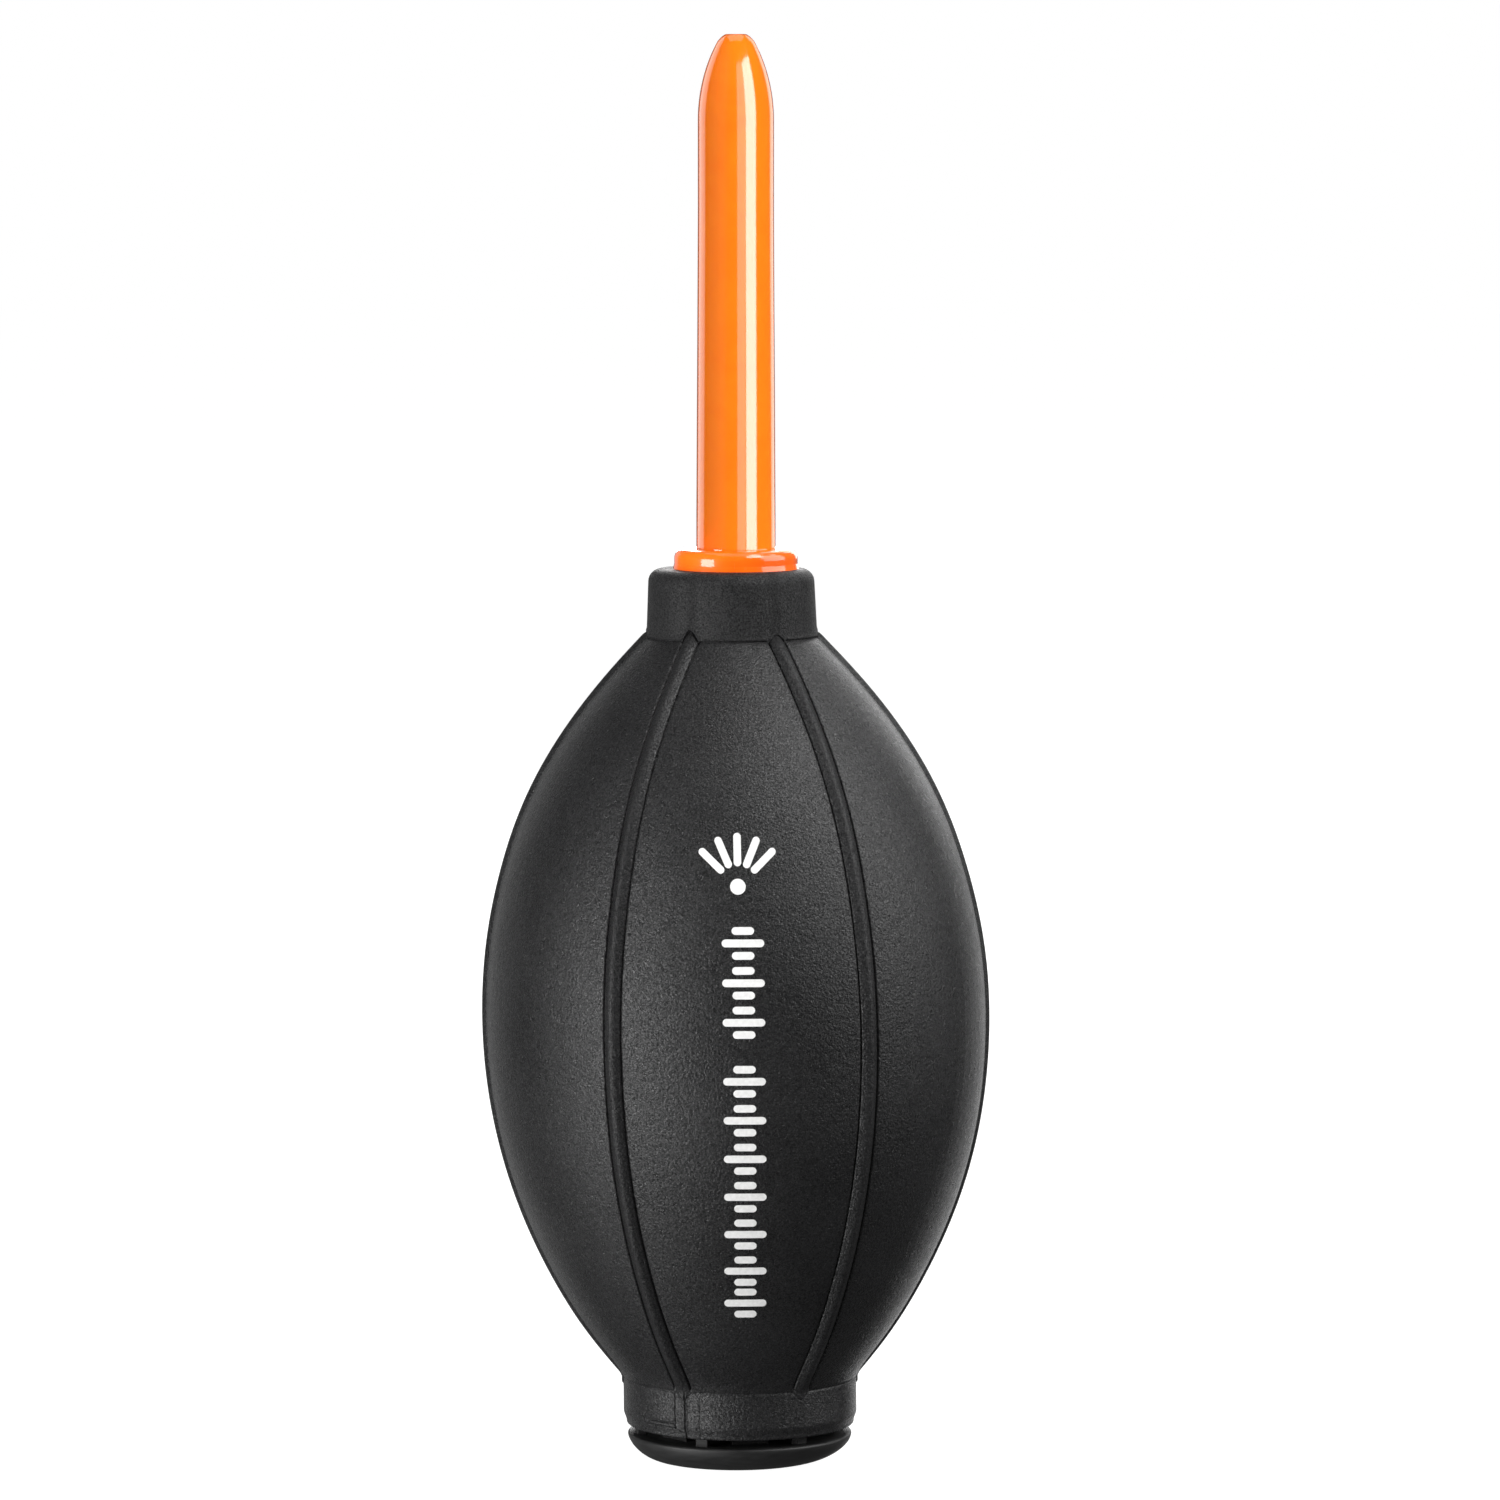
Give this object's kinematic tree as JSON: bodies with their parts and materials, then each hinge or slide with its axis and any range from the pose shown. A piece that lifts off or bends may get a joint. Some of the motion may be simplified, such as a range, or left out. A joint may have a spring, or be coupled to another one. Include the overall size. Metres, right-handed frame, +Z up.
{
  "type": "dust blower bulb",
  "caption": "Hand squeezed dust blower: ribbed rubber bulb with a pull-out round-tipped nozzle, one-way air valves and a filtered base cap.",
  "frame": {"origin": "centre of the base, on the surface the blower stands on", "axes": "+Z up along the blower's axis towards the nozzle tip; -Y is the printed front between two ribs; +X to the right seen from the front"},
  "size_m": [0.06, 0.0588, 0.168],
  "materials": {
    "black_rubber": "matt black rubber with a fine leather-like grain",
    "orange_gloss": "glossy moulded orange plastic",
    "deep_orange": "glossy moulded red-orange plastic",
    "black_plastic": "satin black moulded plastic",
    "seal_rubber": "smooth black seal rubber",
    "silicone": "soft translucent white silicone",
    "grey_foam": "open-cell grey filter foam",
    "steel_mesh": "woven stainless steel wire mesh",
    "white_print": "thin white pad-printed ink on the rubber"
  },
  "bodies": {
    "base": {"base_cap": "black_plastic", "foot_pads": "seal_rubber", "filter_retainer": "black_plastic", "filter_mesh": "steel_mesh", "filter_foam": "grey_foam"},
    "bulb_body": {"bulb": "black_rubber", "nozzle_socket": "deep_orange", "outlet_valve_seat": "black_plastic", "intake_housing": "black_plastic"},
    "front_wall": {"front_squeeze_wall": "black_rubber"},
    "rear_wall": {"rear_squeeze_wall": "black_rubber"},
    "nozzle": {"nozzle": "orange_gloss", "nozzle_o_ring": "seal_rubber"},
    "outlet_flap": {"outlet_valve_flap": "silicone"},
    "intake_valve": {"intake_valve": "silicone", "intake_valve_washer": "black_plastic"}
  },
  "joints": [
    {"name": "bulb_off_base", "type": "slide", "parent": "base", "child": "bulb_body", "axis": [0, 0, 1], "range_m": [0, 0.012]},
    {"name": "front_squeeze", "type": "slide", "parent": "bulb_body", "child": "front_wall", "axis": [0, 1, 0], "range_m": [0, 0.01], "stiffness_N_per_m": 1500},
    {"name": "rear_squeeze", "type": "slide", "parent": "bulb_body", "child": "rear_wall", "axis": [0, -1, 0], "range_m": [0, 0.01], "stiffness_N_per_m": 1500},
    {"name": "nozzle_pull", "type": "slide", "parent": "bulb_body", "child": "nozzle", "axis": [0, 0, 1], "range_m": [0, 0.02]},
    {"name": "outlet_flap_lift", "type": "slide", "parent": "bulb_body", "child": "outlet_flap", "axis": [0, 0, 1], "range_m": [0, 0.0012]},
    {"name": "intake_valve_lift", "type": "slide", "parent": "bulb_body", "child": "intake_valve", "axis": [0, 0, 1], "range_m": [0, 0.0009], "stiffness_N_per_m": 30}
  ],
  "couplings": [
    {"joint": "rear_squeeze", "follows": "front_squeeze", "ratio": 1},
    {"joint": "outlet_flap_lift", "follows": "front_squeeze", "ratio": 0.12}
  ]
}
